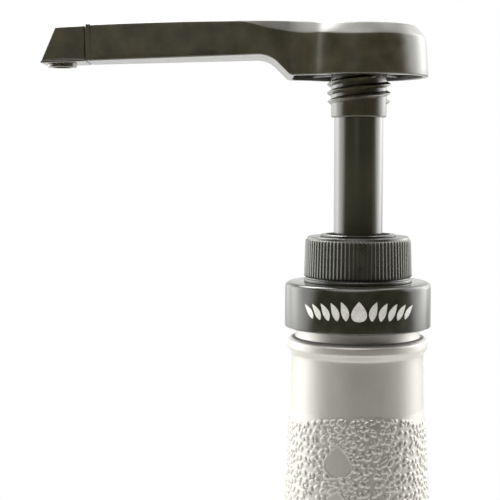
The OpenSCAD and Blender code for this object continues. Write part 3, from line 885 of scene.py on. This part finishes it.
def matt_painted_shade_hollow(shell):
    """Gives the unpolished faces inside the hollow their own matt material, whose darker colour is painted
    shade.
    """
    shell.data.materials.append(HEAD_MATT_PAINTED_SHADE)
    for face in shell.data.polygons:
        x, y, z = face.center / MM
        inside = math.hypot(x, y) < COVE_R or face.normal.x * x + face.normal.y * y < 0
        # Faces inside the hollow take the matt material with the painted shade
        if inside and x > TOE_X and RIM_Z + 0.2 < z < CEILING_Z + 0.1:
            face.material_index = 1


def make_head():
    """The press disc and the arm, in three pieces."""
    shell = head_shell()
    for obj in (shell, head_ribs(), head_boss()):
        place(obj, "plunger", HEAD_BLACK, "head_plastic", "pump_head")
    matt_painted_shade_hollow(shell)


# ---------------------------------------------------------------- spout tip

def box_between(stations, bevel_mm, name):
    """A closed solid through rectangular sections (x, half-width, low z, high z), with rounded edges."""
    work = Patchwork()
    rows = []
    for x_low, x_high, half, low, high in stations:
        rows.append([(x_low, -half, low), (x_high, -half, high), (x_high, half, high), (x_low, half, low)])
    work.loft(rows)
    obj = work.build(name)
    rounding = obj.modifiers.new("rounding", "BEVEL")
    rounding.width = bevel_mm * MM
    rounding.segments = 3
    rounding.limit_method = "ANGLE"
    rounding.angle_limit = math.radians(30)
    rounding.harden_normals = True
    return obj


def drilled(obj, x, radius, low, high):
    """Cuts a blind round hole into a piece from below and keeps the result as plain mesh."""
    drill = Patchwork()
    turned(drill, [(0.0, low), (radius, low), (radius, high - 0.2), (radius - 0.2, high), (0.0, high)], 96,
           closed=False)
    drill.points = [(px + x, py, pz) for px, py, pz in drill.points]
    cutter = drill.build("cutter")
    cut = obj.modifiers.new("hole", "BOOLEAN")
    cut.object = cutter
    cut.solver = "EXACT"
    obj.modifiers.new("flat faces", "WEIGHTED_NORMAL").keep_sharp = True
    finished = bpy.data.meshes.new_from_object(obj.evaluated_get(bpy.context.evaluated_depsgraph_get()))
    obj.modifiers.clear()
    obj.data = finished
    bpy.data.objects.remove(cutter)


def make_tip():
    """The end piece: a raked body, a proud seam band, a thin lip and a round mouth pointing down."""
    rake = 4.3
    tip_x = -91.0
    seam_x = -78.15
    under = arm_under(OUTLET_X)
    hole_top = under + 4.7
    sections = []
    for i in range(6):
        t = i / 5
        low_x = tip_x + 0.15 + (seam_x - tip_x - 0.15) * t
        high_x = tip_x + rake + (seam_x - tip_x - rake) * t
        half = arm_half(0.5 * (low_x + high_x)) - 0.18
        sections.append((low_x, high_x, half, arm_under(low_x) + 0.45, arm_top(high_x) - 0.12))
    body = box_between(sections, 0.45, "tip_body")
    drilled(body, OUTLET_X, OUTLET_R, under - 2, hole_top)

    lip_rows = []
    for i in range(5):
        x = tip_x + (seam_x - tip_x) * i / 4
        lip_rows.append((x, x + 0.12, arm_half(x) + 0.1, arm_under(x) - 0.1, arm_under(x) + 0.55))
    lip = box_between(lip_rows, 0.22, "tip_lip")
    drilled(lip, OUTLET_X, OUTLET_R, under - 2, hole_top)

    band = []
    for x in (-77.95, -77.3, -76.65):
        band.append((x, x, arm_half(x) + 0.08, arm_under(x) + 0.1, arm_top(x) + 0.22))
    collar = box_between(band, 0.22, "tip_collar")

    mouth = Patchwork()
    profile = filleted([(OUTLET_R, under - NOZZLE_OUT, 0.12), (OUTLET_R + 1.2, under - NOZZLE_OUT, 0.12),
                        (OUTLET_R + 1.3, under + 0.3, 0), (OUTLET_R - 0.02, under + 0.3, 0)])
    turned(mouth, profile, 96)
    mouth.points = [(x + OUTLET_X, y, z) for x, y, z in mouth.points]
    ring = mouth.build("tip_mouth")

    for piece in (body, collar, lip, ring):
        place(piece, "plunger", HEAD_BLACK, "head_plastic", "spout_tip")


# ---------------------------------------------------------------- return spring

def make_spring():
    """A round-wire spring whose end turns lie flat, squashed by the pump's stroke."""
    work = Patchwork()
    wire = 0.6
    coils = 10
    coil_r = 8.35
    low = SPRING_FOOT + wire
    high = SPRING_TOP - wire
    dead = 0.1
    dead_rise = 0.25
    rows = []
    steps = coils * 36
    for i in range(steps + 1):
        t = i / steps
        if t < dead:
            rise = t * dead_rise
        elif t > 1 - dead:
            rise = 1 - (1 - t) * dead_rise
        else:
            rise = dead * dead_rise + (t - dead) * (1 - 2 * dead * dead_rise) / (1 - 2 * dead)
        a = 2 * math.pi * coils * t
        z = low + (high - low) * rise
        row = []
        for k in range(10):
            b = 2 * math.pi * k / 10
            r = coil_r + wire * math.cos(b)
            row.append((r * math.cos(a), r * math.sin(a), z + wire * math.sin(b)))
        rows.append(row)
    work.loft(rows)
    obj = work.build("spring_wire", sharp_deg=60)
    place(obj, "pump", STEEL, "steel", "return_spring")
    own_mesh(obj)


# ---------------------------------------------------------------- studio

# Backdrop: brightness at the sides and at the back, and how far back it starts and ends to rise
BACKDROP_LEVELS = (0.03, 1.22)
BACKDROP_EDGES = (0.45, 0.95)
# Warm light of the room behind the camera, which fades out towards the backdrop
ROOM_LEVEL = 0.1
ROOM_EDGES = (0.4, -0.4)
ROOM_COLOUR = (1.0, 0.8, 0.5, 1)
LAMP_COLOUR = (1.0, 0.997, 0.985, 1)
# Softboxes by azimuth from the front towards +X, elevation, inner and outer half-angle, brightness
SOFTBOXES = [
    (-104, 10, 14, 37, 5.7),
    (-132, 8, 10, 32, 3.0),
    (-112, -24, 8, 32, 1.2),
    (-145, 56, 9, 25, 17.5),
    (109, 18, 14, 37, 6.3),
    (132, 18, 10, 32, 2.3),
    (114, -24, 8, 30, 2.4),
    (84, -16, 6, 26, 0.9),
    (130, 50, 12, 26, 1.3),
    (180, 80, 16, 44, 4.7),
    (-24, 60, 12, 36, 5.0),
    (-14, 10, 1, 13, 0.5),
]


def softbox(nodes, links, towards, azimuth, elevation, inner, outer, level):
    """Brightness of a round, soft-edged lamp in the direction looked in."""
    a = math.radians(azimuth)
    e = math.radians(elevation)
    dot = nodes.new("ShaderNodeVectorMath")
    dot.operation = "DOT_PRODUCT"
    dot.inputs[1].default_value = (math.sin(a) * math.cos(e), -math.cos(a) * math.cos(e), math.sin(e))
    links.new(towards, dot.inputs[0])
    outer_cos = math.cos(math.radians(outer))
    inner_cos = math.cos(math.radians(inner))
    return map_range(nodes, links, dot.outputs["Value"], 0.0, level, outer_cos, inner_cos, smooth=True)


def added(nodes, links, a, b):
    """The sum of two values."""
    node = nodes.new("ShaderNodeMath")
    node.operation = "ADD"
    links.new(a, node.inputs[0])
    links.new(b, node.inputs[1])
    return node.outputs["Value"]


def background(nodes, links, colour, strength=None):
    """Light of one colour from all round."""
    node = nodes.new("ShaderNodeBackground")
    node.inputs["Color"].default_value = colour
    if strength:
        links.new(strength, node.inputs["Strength"])
    return node.outputs["Background"]


def make_world():
    """Soft studio surroundings: softboxes at both sides, an overhead one and a white backdrop."""
    world = bpy.data.worlds.new("studio")
    bpy.context.scene.world = world
    world.use_nodes = True
    nodes = world.node_tree.nodes
    links = world.node_tree.links
    nodes.clear()
    towards = nodes.new("ShaderNodeTexCoord").outputs["Generated"]
    split = nodes.new("ShaderNodeSeparateXYZ")
    links.new(towards, split.inputs["Vector"])
    depth = split.outputs["Y"]

    lamps = map_range(nodes, links, depth, *BACKDROP_LEVELS, *BACKDROP_EDGES, smooth=True)
    for lamp in SOFTBOXES:
        lamps = added(nodes, links, lamps, softbox(nodes, links, towards, *lamp))
    room = map_range(nodes, links, depth, 0.0, ROOM_LEVEL, *ROOM_EDGES)
    around = nodes.new("ShaderNodeAddShader")
    links.new(background(nodes, links, LAMP_COLOUR, lamps), around.inputs[0])
    links.new(background(nodes, links, ROOM_COLOUR, room), around.inputs[1])

    # The camera sees plain white where it sees past the object
    path = nodes.new("ShaderNodeLightPath")
    mix = nodes.new("ShaderNodeMixShader")
    links.new(path.outputs["Is Camera Ray"], mix.inputs["Fac"])
    links.new(around.outputs["Shader"], mix.inputs[1])
    links.new(background(nodes, links, (1, 1, 1, 1)), mix.inputs[2])
    output = nodes.new("ShaderNodeOutputWorld")
    links.new(mix.outputs["Shader"], output.inputs["Surface"])


def make_floor():
    """The studio's plain pale floor."""
    work = Patchwork()
    size = 700.0
    steps = 14
    line = [-size + 2 * size * i / steps for i in range(steps + 1)]
    work.grid([[(x, y, 0.0) for x in line] for y in line])
    floor = work.build("studio_floor")
    floor.data.materials.append(FLOOR)


def make_camera():
    """A low front view of the pump, with most of the bottle below the frame."""
    data = bpy.data.cameras.new("camera")
    data.lens = 90.0
    data.sensor_width = 36.0
    camera = bpy.data.objects.new("camera", data)
    bpy.context.scene.collection.objects.link(camera)
    camera.location = (-0.0315, -0.364, 0.32685)
    camera.rotation_euler = (math.radians(90 - 4.15), 0, 0)
    bpy.context.scene.camera = camera


def carried_nodes():
    """Materials for the CAD nodes that are kept as they are."""
    kept = {
        SEAL: ["bottle_gasket", "neck_gasket", "stem_seal", "stem_gasket", "tip_gasket"],
        CAP_BLACK: ["chaplet"],
        NATURAL: ["pump_housing", "ball_cage", "dip_tube", "piston", "stem_foot"],
        STEEL: ["inlet_ball", "outlet_ball"]}
    for material, nodes in kept.items():
        for node in nodes:
            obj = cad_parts[node]
            obj.data.materials.clear()
            obj.data.materials.append(material)


make_bottle()
make_adapter()
make_print()
make_closure()
make_stem()
make_head()
make_tip()
make_spring()
carried_nodes()

make_world()
make_floor()
make_camera()

scene = bpy.context.scene
scene.view_settings.view_transform = "Standard"
scene.view_settings.look = "None"
